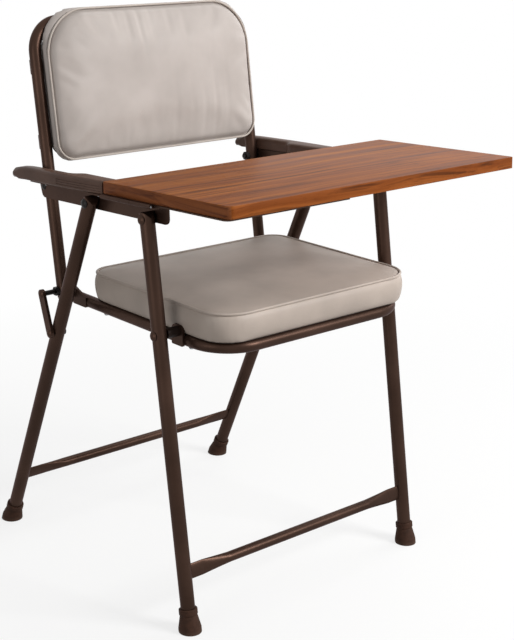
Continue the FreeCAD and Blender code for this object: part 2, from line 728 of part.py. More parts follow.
board_rear_face = -core_rear - face_gap - back_board_thickness
back_board = plate(core_corners(back_board_inset), plan(board_rear_face), V(0, 0, back_board_thickness))
tabs = []
back_screws = []
for rise in (cushion_bottom_rise + height for height in tab_heights):
    tab = Part.makeBox(tab_reach, tab_height, tab_sheet,
                       V(upright_x - tab_reach + frame_radius / 2, rise - tab_height / 2,
                         board_rear_face - tab_sheet)).cut(back_tube_core)
    seat = V(upright_x - tab_screw_inset, rise, board_rear_face - tab_sheet)
    hole = screw_hole(seat, V(0, 0, 1), tab_sheet + screw_bite)
    tabs.append(leaned(tab.cut(hole)))
    back_board = back_board.cut([hole, mirrored(hole)])
    back_screws.append(leaned(screw(seat, V(0, 0, 1), tab_sheet + screw_bite)))
nodes["back_board"] = leaned(back_board)
nodes["back_cushion"] = leaned(make_back_cushion())
nodes["back_tabs"] = Part.makeCompound(tabs + [mirrored(tab) for tab in tabs])
nodes["back_screws"] = Part.makeCompound(back_screws + [mirrored(piece) for piece in back_screws])

arm_nut_start = upright_inner_x - nut_thickness
arm_bolt = along_x(pivot_radius, arm_nut_start - bolt_proud, bracket_outer_x, rear_pivot_y, rear_pivot_z)
arm_bolt_head = dome(bracket_outer_x + face_gap, bracket_outer_x + face_gap + inner_head_height,
                     arm_bolt_head_radius, rear_pivot_y, rear_pivot_z)
arm_bolt_neck = along_x(pivot_radius, bracket_outer_x, bracket_outer_x + face_gap, rear_pivot_y, rear_pivot_z)
nodes["arm_pivot_bolts"] = pair(arm_bolt.fuse([arm_bolt_neck, arm_bolt_head]).removeSplitter())
nodes["arm_pivot_nuts"] = pair(hex_nut(arm_nut_start, upright_inner_x, rear_pivot_y, rear_pivot_z))

# The hinge bolt's outer end stops just short of the link, where the closed linkage is opened
hinge_nut_end = upright_inner_x - face_gap * 2 - lug_sheet
hinge_nut_start = hinge_nut_end - nut_thickness
hinge_bolt_end = link_inner_x - face_gap
nodes["hinge_bolts"] = pair(along_x(pivot_radius, hinge_nut_start - bolt_proud, hinge_bolt_end, hinge_y, hinge_z))
jam_start = upright_x + frame_radius
nodes["hinge_nuts"] = Part.makeCompound([
    pair(hex_nut(hinge_nut_start, hinge_nut_end, hinge_y, hinge_z)),
    pair(hex_nut(jam_start, jam_start + nut_thickness, hinge_y, hinge_z))])


# Links from the hinge bolts down to the rear legs

def make_link():
    up = V(hinge_y - link_pivot_y, hinge_z - link_pivot_z, 0)
    reach = up.Length
    up.normalize()
    across = V(-up.y, up.x, 0) * link_half_width
    low = V(link_pivot_y, link_pivot_z, 0) - up * link_half_width
    high = low + up * (reach + link_half_width * 2)
    radius = link_half_width - 0.2
    corners = [(point.x, point.y, radius) for point in (low - across, low + across, high + across, high - across)]
    link = plate(corners, side_view(link_inner_x), V(link_sheet, 0, 0))
    hole = along_x(link_rivet_radius + pin_clearance, link_inner_x, link_outer_x, link_pivot_y, link_pivot_z)
    return link.cut(hole)


add_sides("fold_link", make_link())
link_leg_inner = leg_half_spacing - leg_radius
link_pin = along_x(link_rivet_radius, link_leg_inner, link_outer_x + seat_clearance, link_pivot_y, link_pivot_z)
link_outer_head = dome(link_outer_x + seat_clearance, link_outer_x + link_head_height, link_head_radius,
                       link_pivot_y, link_pivot_z)
link_inner_head = dome(link_leg_inner, link_leg_inner - inner_head_height, link_head_radius,
                       link_pivot_y, link_pivot_z)
nodes["link_rivets"] = pair(link_pin.fuse([link_outer_head, link_inner_head]).removeSplitter())
nodes["link_bolt_heads"] = pair(dome(link_outer_x, link_outer_x + link_head_height, link_head_radius,
                                     hinge_y, hinge_z))


# The origin is on the floor, under the middle of the whole chair's box

box = Part.makeCompound(list(nodes.values())).BoundBox
origin = V(box.Center.x, box.Center.y, 0)
os.makedirs("parts", exist_ok=True)
for name, shape in nodes.items():
    shape.translate(origin * -1)
    shape.exportStep("parts/" + name + ".step")
print("origin", round(origin.x, 4), round(origin.y, 4), "nodes", len(nodes))
print("box", [round(size, 2) for size in (box.XLength, box.YLength, box.ZMax)])
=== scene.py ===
import bpy, bmesh, math
from mathutils import Vector, Matrix


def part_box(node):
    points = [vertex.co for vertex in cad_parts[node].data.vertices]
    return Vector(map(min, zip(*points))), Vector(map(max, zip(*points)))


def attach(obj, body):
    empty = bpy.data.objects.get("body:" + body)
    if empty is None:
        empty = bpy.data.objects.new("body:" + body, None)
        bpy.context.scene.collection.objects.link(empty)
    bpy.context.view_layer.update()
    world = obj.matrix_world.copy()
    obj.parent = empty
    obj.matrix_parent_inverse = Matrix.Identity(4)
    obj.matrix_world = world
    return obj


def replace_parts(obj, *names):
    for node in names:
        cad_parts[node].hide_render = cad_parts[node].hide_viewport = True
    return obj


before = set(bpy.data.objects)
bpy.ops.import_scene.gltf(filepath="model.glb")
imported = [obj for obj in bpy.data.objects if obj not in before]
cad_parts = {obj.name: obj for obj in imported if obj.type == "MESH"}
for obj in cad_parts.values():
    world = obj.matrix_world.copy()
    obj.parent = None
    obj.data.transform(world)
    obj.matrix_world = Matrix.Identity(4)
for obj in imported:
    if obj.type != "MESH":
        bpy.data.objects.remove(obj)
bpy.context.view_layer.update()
scene = bpy.context.scene
mm = 0.001
hair = 1e-6  # points closer than this, in metres, are level
print("frame loaded,", len(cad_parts), "nodes")

# the chair's middle plane and the places that the pieces are built from, all at rest
midX = sum(corner.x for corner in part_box("rear_stretcher")) / 2
rowY = 36.4214 * mm  # the row's origin stands this far ahead of the leg middle
chairPlace = Matrix.Translation((midX, rowY, 0))
armTilt = {"pivotY": -55 * mm, "pivotZ": 630 * mm, "angle": math.radians(-2.5)}  # the arms rise to the front
armPivot = Matrix.Translation((0, armTilt["pivotY"], armTilt["pivotZ"]))
armPlace = chairPlace @ armPivot @ Matrix.Rotation(armTilt["angle"], 4, "X") @ armPivot.inverted()
backLean = {"hingeY": 101.95 * mm, "hingeZ": 446 * mm, "angle": math.radians(8.58)}
backTurn = math.radians(90) - backLean["angle"]
backHinge = Matrix.Translation((0, backLean["hingeY"], backLean["hingeZ"]))
# x across, y up the leaning frame, z out of the cushion's face
backPlace = chairPlace @ backHinge @ Matrix.Rotation(backTurn, 4, "X")


# finishes

def lin(hexColour):
    parts = [int(hexColour[i:i + 2], 16) / 255 for i in (1, 3, 5)]
    return tuple(c / 12.92 if c <= 0.04045 else ((c + 0.055) / 1.055) ** 2.4 for c in parts) + (1.0,)


def addNode(tree, kind, settings=None, wires=None):
    made = tree.nodes.new("ShaderNode" + kind)
    for name, value in (settings or {}).items():
        if name == "stops":  # colour ramp: (position, hex)
            ramp = made.color_ramp
            while len(ramp.elements) < len(value):
                ramp.elements.new(1.0)
            for element, (position, colour) in zip(ramp.elements, value):
                element.position = position
                element.color = lin(colour)
        elif isinstance(name, str) and hasattr(made, name):
            setattr(made, name, value)
        else:
            made.inputs[name].default_value = value
    for name, source in (wires or {}).items():
        tree.links.new(source, made.inputs[name])
    return made


def newFinish(name, **sockets):
    finish = bpy.data.materials.new(name)
    finish.use_nodes = True
    tree = finish.node_tree
    shader = tree.nodes["Principled BSDF"]
    for socket, value in sockets.items():
        shader.inputs[socket.replace("_", " ")].default_value = value
    return finish, tree, shader, addNode(tree, "TexCoord").outputs["Object"]


def wireUp(tree, shader, colour, gloss=None, bump=None):
    tree.links.new(colour.outputs["Color"], shader.inputs["Base Color"])
    if gloss:
        tree.links.new(gloss.outputs["Result"], shader.inputs["Roughness"])
    if bump:
        tree.links.new(bump.outputs["Normal"], shader.inputs["Normal"])


def brownPowderCoat():  # bronze powder coat: brown with fine metal flake, warm highlights, faint orange peel
    finish, tree, shader, place = newFinish("brownPowderCoat", Metallic=0.55, Roughness=0.36,
                                            Specular_Tint=lin("#b79b8b"))
    cloud = addNode(tree, "TexNoise", {"Scale": 1 / (70 * mm), "Detail": 3.0}, {"Vector": place})
    tone = addNode(tree, "ValToRGB", {"stops": ((0.3, "#35261f"), (0.7, "#433129"))},
                   {"Fac": cloud.outputs["Fac"]})
    peel = addNode(tree, "TexNoise", {"Scale": 1 / (3 * mm), "Detail": 2.0},
                   {"Vector": place})  # 1 mm peel drawn at 3
    gloss = addNode(tree, "MapRange", {"To Min": 0.3, "To Max": 0.42}, {"Value": peel.outputs["Fac"]})
    bump = addNode(tree, "Bump", {"Strength": 0.12, "Distance": 0.3 * mm}, {"Height": peel.outputs["Fac"]})
    wireUp(tree, shader, tone, gloss, bump)
    return finish


def mouldedRubber(name, dark, light, scuffHeight):  # moulded rubber: matt, dusty where it stands on the floor
    finish, tree, shader, place = newFinish(name, Roughness=0.72, IOR=1.52, Specular_IOR_Level=0.15)
    cloud = addNode(tree, "TexNoise", {"Scale": 1 / (9 * mm), "Detail": 4.0}, {"Vector": place})
    tone = addNode(tree, "ValToRGB", {"stops": ((0.3, dark), (0.75, light))}, {"Fac": cloud.outputs["Fac"]})
    height = addNode(tree, "SeparateXYZ", None, {"Vector": place})
    worn = addNode(tree, "MapRange", {"From Max": scuffHeight, "To Min": 0.35, "To Max": 0.0},
                   {"Value": height.outputs["Z"]})
    speck = addNode(tree, "TexNoise", {"Scale": 1 / (2.5 * mm), "Detail": 3.0}, {"Vector": place})
    dusty = addNode(tree, "Math", {"operation": "MULTIPLY"},
                    {0: worn.outputs["Result"], 1: speck.outputs["Fac"]})
    dust = addNode(tree, "MixRGB", {"Color2": lin("#7d6a5c")},
                   {"Fac": dusty.outputs[0], "Color1": tone.outputs["Color"]})
    bump = addNode(tree, "Bump", {"Strength": 0.2, "Distance": 0.3 * mm}, {"Height": speck.outputs["Fac"]})
    wireUp(tree, shader, dust, None, bump)
    return finish


def mouldedPlastic(name, dark, light, grainSize):  # moulded ABS: dark, even, with a fine spark-eroded grain
    finish, tree, shader, place = newFinish(name, Roughness=0.42, IOR=1.53, Specular_IOR_Level=0.15)
    cloud = addNode(tree, "TexNoise", {"Scale": 1 / (50 * mm), "Detail": 2.0}, {"Vector": place})
    tone = addNode(tree, "ValToRGB", {"stops": ((0.3, dark), (0.7, light))}, {"Fac": cloud.outputs["Fac"]})
    grain = addNode(tree, "TexVoronoi", {"Scale": 1 / grainSize}, {"Vector": place})
    gloss = addNode(tree, "MapRange", {"To Min": 0.38, "To Max": 0.52}, {"Value": grain.outputs["Distance"]})
    bump = addNode(tree, "Bump", {"Strength": 0.15, "Distance": 0.2 * mm},
                   {"Height": grain.outputs["Distance"]})
    wireUp(tree, shader, tone, gloss, bump)
    return finish


def birchPlywood(name, turn, edge):  # sanded birch plywood: pale faces with long grain, stained edges
    finish, tree, shader, place = newFinish(name, Roughness=0.6, IOR=1.5)
    flat = addNode(tree, "Mapping", {"Rotation": (turn, 0, 0)}, {"Vector": place})
    long = addNode(tree, "Mapping", {"Scale": (1 / (160 * mm), 1 / (5 * mm), 1 / (5 * mm))},
                   {"Vector": flat.outputs[0]})
    figure = addNode(tree, "TexNoise", {"Scale": 1.0, "Detail": 5.0, "Distortion": 0.5},
                     {"Vector": long.outputs[0]})
    tone = addNode(tree, "ValToRGB", {"stops": ((0.3, "#b18f66"), (0.55, "#c9a97d"), (0.75, "#d6ba90"))},
                   {"Fac": figure.outputs["Fac"]})
    normal = addNode(tree, "NewGeometry").outputs["Normal"]
    facing = addNode(tree, "Mapping", {"Rotation": (turn, 0, 0)}, {"Vector": normal})
    depth = addNode(tree, "SeparateXYZ", None, {"Vector": facing.outputs[0]})
    level = addNode(tree, "Math", {"operation": "ABSOLUTE"}, {0: depth.outputs["Z"]})
    side = addNode(tree, "MapRange", {"From Min": 0.3, "From Max": 0.7, "To Min": 1.0, "To Max": 0.0},
                   {"Value": level.outputs[0]})
    mixed = addNode(tree, "MixRGB", {"Color2": lin(edge)},
                    {"Fac": side.outputs["Result"], "Color1": tone.outputs["Color"]})
    bump = addNode(tree, "Bump", {"Strength": 0.15, "Distance": 0.3 * mm}, {"Height": figure.outputs["Fac"]})
    wireUp(tree, shader, mixed, None, bump)
    return finish


def teakVeneer(name, along, tones, streakTone):  # teak under satin lacquer: warm bands, dark streaks, pores
    finish, tree, shader, place = newFinish(name, Roughness=0.4, IOR=1.5, Specular_IOR_Level=0.06)

    def stretched(length, width):
        across = [1 / width] * 3
        across[along] = 1 / length
        return addNode(tree, "Mapping", {"Scale": across}, {"Vector": bent.outputs[0]}).outputs[0]

    sway = addNode(tree, "TexNoise", {"Scale": 1 / (210 * mm), "Detail": 1.0}, {"Vector": place})
    shift = addNode(tree, "VectorMath", {"operation": "SCALE", "Scale": 26 * mm}, {0: sway.outputs["Color"]})
    bent = addNode(tree, "VectorMath", {"operation": "ADD"},
                   {0: place, 1: shift.outputs[0]})  # the grain wanders
    bands = addNode(tree, "TexNoise", {"Scale": 1.0, "Detail": 5.0, "Roughness": 0.55},
                    {"Vector": stretched(620 * mm, 17 * mm)})
    tone = addNode(tree, "ValToRGB", {"stops": tuple(zip((0.3, 0.45, 0.58, 0.72), tones))},
                   {"Fac": bands.outputs["Fac"]})
    streaks = addNode(tree, "TexNoise", {"Scale": 1.0, "Detail": 3.0, "Roughness": 0.6},
                      {"Vector": stretched(260 * mm, 5 * mm)})
    dark = addNode(tree, "MapRange", {"From Min": 0.53, "From Max": 0.7, "To Max": 0.8},
                   {"Value": streaks.outputs["Fac"]})
    streaked = addNode(tree, "MixRGB", {"Color2": lin(streakTone)},
                       {"Fac": dark.outputs["Result"], "Color1": tone.outputs["Color"]})
    pores = addNode(tree, "TexNoise", {"Scale": 1.0, "Detail": 2.0},
                    {"Vector": stretched(14 * mm, 0.9 * mm)})  # 0.3 mm pores drawn at 0.9
    porous = addNode(tree, "MapRange", {"From Min": 0.6, "From Max": 0.75, "To Max": 0.45},
                     {"Value": pores.outputs["Fac"]})
    grained = addNode(tree, "MixRGB", {"Color2": lin(streakTone)},
                      {"Fac": porous.outputs["Result"], "Color1": streaked.outputs["Color"]})
    gloss = addNode(tree, "MapRange", {"To Min": 0.36, "To Max": 0.5}, {"Value": bands.outputs["Fac"]})
    bump = addNode(tree, "Bump", {"Strength": 0.06, "Distance": 0.2 * mm}, {"Height": pores.outputs["Fac"]})
    wireUp(tree, shader, grained, gloss, bump)
    return finish


def blackSteel():  # black oxide on steel fasteners: near black, oily, slightly worn
    finish, tree, shader, place = newFinish("blackOxideSteel", Roughness=0.42, Metallic=0.7)
    speck = addNode(tree, "TexNoise", {"Scale": 1 / (1.5 * mm), "Detail": 4.0}, {"Vector": place})
    tone = addNode(tree, "ValToRGB", {"stops": ((0.4, "#110e0d"), (0.8, "#26201d"))},
                   {"Fac": speck.outputs["Fac"]})
    gloss = addNode(tree, "MapRange", {"To Min": 0.32, "To Max": 0.55}, {"Value": speck.outputs["Fac"]})
    wireUp(tree, shader, tone, gloss)
    return finish


def zincPlate():  # bright zinc plating: pale grey metal, cloudy in patches
    finish, tree, shader, place = newFinish("zincPlatedSteel", Roughness=0.35, Metallic=1.0)
    patch = addNode(tree, "TexVoronoi", {"Scale": 1 / (2 * mm)}, {"Vector": place})
    tone = addNode(tree, "ValToRGB", {"stops": ((0.1, "#8d9094"), (0.8, "#b4b6b8"))},
                   {"Fac": patch.outputs["Distance"]})
    gloss = addNode(tree, "MapRange", {"To Min": 0.28, "To Max": 0.5}, {"Value": patch.outputs["Distance"]})
    wireUp(tree, shader, tone, gloss)
    return finish


def leatherette(name, dark, light, grainDepth):  # PVC leatherette: satin, fine pebble grain, faint creases
    finish, tree, shader, place = newFinish(name, Roughness=0.5, IOR=1.5, Specular_IOR_Level=0.3)
    cloud = addNode(tree, "TexNoise", {"Scale": 1 / (85 * mm), "Detail": 3.0}, {"Vector": place})
    tone = addNode(tree, "ValToRGB", {"stops": ((0.32, dark), (0.68, light))}, {"Fac": cloud.outputs["Fac"]})
    pebble = addNode(tree, "TexVoronoi", {"Scale": 1 / (2.2 * mm), "feature": "SMOOTH_F1"},
                     {"Vector": place})  # 1 mm pebbles drawn at 2.2
    crease = addNode(tree, "TexNoise", {"Scale": 1 / (14 * mm), "Detail": 4.0, "Roughness": 0.6},
                     {"Vector": place})
    relief = addNode(tree, "Math", {"operation": "MULTIPLY_ADD", 1: 0.22},
                     {0: pebble.outputs["Distance"], 2: crease.outputs["Fac"]})
    gloss = addNode(tree, "MapRange", {"To Min": 0.42, "To Max": 0.58}, {"Value": crease.outputs["Fac"]})
    bump = addNode(tree, "Bump", {"Strength": 0.22, "Distance": grainDepth}, {"Height": relief.outputs[0]})
    wireUp(tree, shader, tone, gloss, bump)
    return finish


boardTones = ("#6a3616", "#87491d", "#9c5a26", "#ad6a31")
sideTones = ("#774328", "#8a5130", "#995c38", "#a66840")
frontTones = ("#733a17", "#8a4a20", "#9b5728", "#aa6632")
finishes = {
    "frame_paint": brownPowderCoat(),
    "foot_rubber": mouldedRubber("brownRubber", "#35231a", "#472f24", 9 * mm),
    "buffer_rubber": mouldedRubber("blackRubber", "#121212", "#1e1d1c", 1 * mm),
    "pad_plastic": mouldedPlastic("padAbs", "#543d32", "#654c40", 1.4 * mm),
    "plug_plastic": mouldedPlastic("plugPlastic", "#1d130f", "#291c17", 1.2 * mm),
    "leatherette": leatherette("taupeLeatherette", "#b2a9a3", "#c1b8b2", 0.6 * mm),
    "plywood": birchPlywood("seatPlywood", 0, "#2c1f18"),
    "board_veneer": teakVeneer("teakVeneer", 0, boardTones, "#3f1d0d"),
    "black_steel": blackSteel(),
    "zinc_steel": zincPlate(),
}
backPly = birchPlywood("backPlywood", -backTurn, "#5c432e")
sideLipping = teakVeneer("sideLipping", 1, sideTones, "#52291a")
frontLipping = teakVeneer("frontLipping", 0, frontTones, "#48240f")
shadedSeatCover = leatherette("shadedSeatLeatherette", "#b0a399", "#c1b3a8", 0.6 * mm)  # a browner, slightly darker copy of the back's leatherette: painted shade for the seat, which gets less light
paleWelt = leatherette("paleWelt", "#b8aea5", "#c4bab1", 0.2 * mm)
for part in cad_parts.values():
    for held in part.material_slots:
        held.material = finishes[held.material.name.split(".")[0]]
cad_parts["back_board"].material_slots[0].material = backPly
print("finishes on the frame")


# shared making steps

def toMesh(name, bm):
    mesh = bpy.data.meshes.new(name)
    bm.to_mesh(mesh)
    bm.free()
    return mesh


def fromMesh(mesh):
    bm = bmesh.new()
    bm.from_mesh(mesh)
    return bm


def newObject(name, data):
    made = bpy.data.objects.new(name, data)
    scene.collection.objects.link(made)
    return made


def shadeSmooth(mesh):
    for face in mesh.polygons:
        face.use_smooth = True


def makePiece(name, bm, place, finishList, body):
    bmesh.ops.recalc_face_normals(bm, faces=bm.faces)
    mesh = toMesh(name, bm)
    mesh.transform(place)
    piece = newObject(name, mesh)
    for finish in finishList:
        mesh.materials.append(finish)
    shadeSmooth(mesh)
    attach(piece, body)
    return piece


def bevel(bm, geom, width, segments, kind="EDGES"):
    bmesh.ops.bevel(bm, geom=geom, offset=width, affect=kind, segments=segments, profile=0.5, material=-1)


def relax(bm, verts):  # one pass that moves each point half way to its neighbours
    bmesh.ops.smooth_vert(bm, verts=verts, factor=0.5, use_axis_x=True, use_axis_y=True, use_axis_z=True)


def roundedPlan(corners, segments):  # corners as (x, y, radius); one flat face with arcs at its corners
    bm = bmesh.new()
    verts = [bm.verts.new((x, y, 0)) for x, y, radius in corners]
    bm.faces.new(verts)
    for vert, (x, y, radius) in zip(verts, corners):
        if radius > 0:
            bevel(bm, [vert], radius, segments, "VERTICES")
    return bm


def slab(corners, segments, low, high):
    bm = roundedPlan(corners, segments)
    bmesh.ops.translate(bm, verts=bm.verts, vec=(0, 0, low))
    grown = bmesh.ops.extrude_face_region(bm, geom=bm.faces[:])["geom"]
    lifted = [item for item in grown if isinstance(item, bmesh.types.BMVert)]
    bmesh.ops.translate(bm, verts=lifted, vec=(0, 0, high - low))
    bmesh.ops.recalc_face_normals(bm, faces=bm.faces)
    return bm


def insideBy(point, form):  # how far a point lies inside the cushion's sewn outline
    t = (point.y - form["low"]) / (form["high"] - form["low"])
    half = form["half"] - form["taper"] * t
    radius = form["highRadius"] if t > 0.5 else form["lowRadius"]
    dx = abs(point.x) - half + radius
    dy = abs(point.y - (form["low"] + form["high"]) / 2) - (form["high"] - form["low"]) / 2 + radius
    outside = math.hypot(max(dx, 0), max(dy, 0))
    return radius - outside - min(max(dx, dy), 0)


def formCorners(form, inset, square=0.0):  # square comes off the upper radii, a quarter of it off the lower
    low, high, half = form["low"] + inset, form["high"] - inset, form["half"] - inset
    lowRadius, highRadius = form["lowRadius"] - inset - square / 4, form["highRadius"] - inset - square
    return [(-half, low, lowRadius), (half, low, lowRadius),
            (half - form["taper"], high, highRadius), (-half + form["taper"], high, highRadius)]


def addOn(bm, extra):  # puts another bmesh into this one
    mesh = toMesh("extra", extra)
    bm.from_mesh(mesh)
    bpy.data.meshes.remove(mesh)


def loft(layers, segments):  # layers as (corners, level), low to high, bridged into one closed form
    bm = bmesh.new()
    rings = []
    for corners, level in layers:
        flat = roundedPlan(corners, segments)
        bmesh.ops.translate(flat, verts=flat.verts, vec=(0, 0, level))
        start = len(bm.edges)
        addOn(bm, flat)
        bm.edges.ensure_lookup_table()
        rings.append(bm.edges[start:])
    inner = bm.faces[1:-1]
    bmesh.ops.delete(bm, geom=inner, context="FACES_ONLY")
    for lower, upper in zip(rings, rings[1:]):
        bmesh.ops.bridge_loops(bm, edges=lower + upper)
    bmesh.ops.recalc_face_normals(bm, faces=bm.faces)
    return bm


def evaluated(piece):
    view = bpy.context.evaluated_depsgraph_get()
    return bpy.data.meshes.new_from_object(piece.evaluated_get(view))


def swap(piece, mesh):  # the modifiers' result becomes the mesh
    piece.modifiers.clear()
    old = piece.data
    piece.data = mesh
    bpy.data.meshes.remove(old)


# filling of both cushions: remeshed, crowned, then blown up as cloth with the seams held

filling = {"cornerSteps": 10, "faceLevel": 0.9, "seamShare": 0.8, "frames": 20, "quality": 5, "mass": 0.3,
           "bandStart": 2 * mm, "bandPasses": 3, "baseEase": 1 * mm}


def crownFace(mesh, form):  # lifts the face inside its seam, and gives the points that stay held
    held = []
    for vert in mesh.vertices:
        deep = insideBy(vert.co, form)
        level = (vert.co.z - form["base"]) / (form["seam"] - form["base"])
        if level > filling["faceLevel"] and deep > 0:
            t = min(deep / form["crownReach"], 1)
            vert.co.z += (form["crown"] * (1 - (1 - t) ** form["edge"])
                          + form["lip"] * (1 - math.exp(-deep / form["lipReach"])))
        nearSeam = abs(vert.co.z - form["seam"]) < filling["seamShare"] * form["voxel"]
        if (nearSeam and deep < form["voxel"]) or level < form["held"]:
            held.append(vert.index)
    return held


def blowUp(pad, held, form):
    before = [vert.co.copy() for vert in pad.data.vertices]
    sewn = pad.vertex_groups.new(name="sewn")
    sewn.add(held, 1.0, "REPLACE")
    cloth = pad.modifiers.new("filling", "CLOTH")
    rules = cloth.settings
    rules.quality = filling["quality"]
    rules.mass = filling["mass"]
    rules.tension_stiffness = form["stiffness"]
    rules.compression_stiffness = form["stiffness"]
    rules.bending_stiffness = form["bending"]
    rules.use_pressure = True
    rules.uniform_pressure_force = form["pressure"]
    rules.effector_weights.gravity = 0
    rules.vertex_group_mass = "sewn"
    rules.shrink_min = form["shrink"]
    cloth.collision_settings.use_collision = False
    cloth.point_cache.frame_start = 1
    cloth.point_cache.frame_end = filling["frames"]
    for step in range(1, filling["frames"] + 1):
        scene.frame_set(step)
    blown = evaluated(pad)
    scene.frame_set(1)
    swap(pad, blown)
    moved = 0
    for vert, start in zip(pad.data.vertices, before):
        step = vert.co - start
        if step.length > 0:  # eases up to the cap, so no flat patch shows
            step *= form["cap"] * math.tanh(step.length / form["cap"]) / step.length
        moved = max(moved, step.length)
        vert.co = start + step
    print("cloth moved", round(moved / mm, 1), "mm at most,", len(before), "points")


def drawSeam(bm, form):  # flattens the base, and draws the covering in along the sewn line
    for vert in bm.verts:
        deep = insideBy(vert.co, form)
        if vert.co.z < form["base"] + filling["baseEase"]:
            vert.co.z = form["base"]
        near = math.exp(-((vert.co.z - form["seam"]) / form["seamBlur"]) ** 2)
        if deep < form["seamReach"]:
            mid = Vector((0, (form["low"] + form["high"]) / 2, vert.co.z))
            vert.co += (mid - vert.co).normalized() * near * form["seamDraw"]


def stuff(form):  # a closed pad in its own frame
    layers = [(formCorners(form, inset, square), level) for inset, square, level in form["layers"]]
    pad = newObject("pad", toMesh("pad", loft(layers, filling["cornerSteps"])))
    fine = pad.modifiers.new("voxels", "REMESH")
    fine.mode = "VOXEL"
    fine.voxel_size = form["voxel"]
    swap(pad, evaluated(pad))
    held = crownFace(pad.data, form)
    blowUp(pad, held, form)
    bm = fromMesh(pad.data)
    bandStart = form["base"] + filling["bandStart"]
    band = [vert for vert in bm.verts if bandStart < vert.co.z < form["seam"]]
    relax(bm, bm.verts)
    for turn in range(filling["bandPasses"]):
        relax(bm, band)
    bpy.data.objects.remove(pad)
    drawSeam(bm, form)
    return bm


piping = {"cornerSteps": 12, "longSide": 20 * mm, "cuts": 24, "roundSteps": 3,
          "lift": 0.2 * mm, "weld": 0.01 * mm}


def pipingRing(form):  # a round cord of covering sewn in along the outline
    bm = roundedPlan(formCorners(form, form["weltInset"]), piping["cornerSteps"])
    long = [edge for edge in bm.edges if edge.calc_length() > piping["longSide"]]
    bmesh.ops.subdivide_edges(bm, edges=long, cuts=piping["cuts"])
    loop = [corner.vert.co.copy() for corner in bm.faces[:][0].loops]
    bm.free()
    line = bpy.data.curves.new("piping", "CURVE")
    line.dimensions = "3D"
    line.bevel_depth = form["weltRadius"]
    line.bevel_resolution = piping["roundSteps"]
    run = line.splines.new("POLY")
    run.points.add(len(loop) - 1)
    run.use_cyclic_u = True
    for point, spot in zip(run.points, loop):
        point.co = (spot.x, spot.y, form["seam"] + piping["lift"], 1)
    cord = newObject("piping", line)
    bm = fromMesh(evaluated(cord))
    bpy.data.objects.remove(cord)
    bmesh.ops.remove_doubles(bm, verts=bm.verts, dist=piping["weld"])
    return bm


# seat cushion: a boxed pad with a welt round its top

seatLow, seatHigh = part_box("seat_cushion")
seatForm = {
    "low": seatLow.y - rowY, "high": seatHigh.y - rowY, "half": (seatHigh.x - seatLow.x) / 2, "taper": 0,
    "lowRadius": 52 * mm, "highRadius": 33 * mm,
    "base": seatLow.z, "seam": 486.5 * mm, "voxel": 5 * mm, "held": 0.1,
    # inset, square and level of each layer
    "layers": [(2 * mm, 0, seatLow.z), (-0.3 * mm, 0, seatLow.z + 6 * mm), (-1.7 * mm, 0, 458 * mm),
               (-3 * mm, 0, 468 * mm), (-2 * mm, 0, 478 * mm), (1.2 * mm, 0, 486.5 * mm)],
    "crown": 5 * mm, "crownReach": 120 * mm, "edge": 2.6, "lip": 2.5 * mm, "lipReach": 7 * mm,
    "pressure": 2.0, "stiffness": 30, "bending": 2.0, "shrink": 0.0, "cap": 5 * mm,
    "seamBlur": 2.5 * mm, "seamReach": 8 * mm, "seamDraw": 0.8 * mm,
    "weltInset": 2.2 * mm, "weltRadius": 2.4 * mm,
    "boardInset": 4.6 * mm, "boardPocket": 9.4 * mm, "pocketBelow": 5 * mm,
}


def cutPocket(cushion, form):  # room for the plywood board, after one step of smoothing
    smooth = cushion.modifiers.new("smooth", "SUBSURF")
    smooth.levels = smooth.render_levels = 1
    pocket = slab(formCorners(form, form["boardInset"]), filling["cornerSteps"],
                  form["base"] - form["pocketBelow"], form["base"] + form["boardPocket"])
    cutter = newObject("pocket", toMesh("pocket", pocket))
    cut = cushion.modifiers.new("boardPocket", "BOOLEAN")
    cut.object = cutter
    cut.operation = "DIFFERENCE"
    bpy.context.view_layer.update()
    swap(cushion, evaluated(cushion))
    bpy.data.objects.remove(cutter)


def makeSeatCushion(form):
    cushion = makePiece("seatCushion", stuff(form), Matrix.Identity(4), [shadedSeatCover], "seat")
    cutPocket(cushion, form)
    bm = fromMesh(cushion.data)
    addOn(bm, pipingRing(form))
    bm.to_mesh(cushion.data)
    bm.free()
    shadeSmooth(cushion.data)
    cushion.data.transform(chairPlace)
    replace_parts(cushion, "seat_cushion")
    return cushion


seatCushion = makeSeatCushion(seatForm)
print("seat cushion", len(seatCushion.data.polygons), "faces")


# back cushion: a thinner pad with piping, held in the bent tube by its core

backForm = {
    "low": 203.5 * mm, "high": 435.5 * mm, "half": 200.5 * mm, "taper": 0,
    "lowRadius": 30 * mm, "highRadius": 74 * mm,
    "base": 9.8 * mm, "seam": 24 * mm, "voxel": 4.5 * mm, "held": 0.2,
    # inset, square and level of each layer
    "layers": [(-1.2 * mm, 23 * mm, 9.8 * mm), (-2.4 * mm, 21 * mm, 13 * mm),
               (-2 * mm, 9 * mm, 18 * mm), (0, 0, 24 * mm)],
    "crown": 1 * mm, "crownReach": 110 * mm, "edge": 2.6, "lip": 15.5 * mm, "lipReach": 14.5 * mm,
    "valley": 5.5 * mm, "valleyIn": 2.8 * mm, "valleyWide": 4.2 * mm,
    "pressure": 2.0, "stiffness": 25, "bending": 1.2, "shrink": -0.004, "cap": 4 * mm,
    "seamBlur": 2 * mm, "seamReach": 7 * mm, "seamDraw": 0.6 * mm, "faceMargin": 1 * mm,
    "weltInset": 0.8 * mm, "weltRadius": 1.7 * mm,
    "coreLow": -1.5 * mm, "coreInto": 3 * mm, "coreRim": 2 * mm, "coreRimSteps": 3,
}
coreForm = {"low": backForm["low"] + 5 * mm, "high": 407.2 * mm, "half": 197 * mm, "taper": 0,
            "lowRadius": backForm["lowRadius"], "highRadius": 35 * mm}
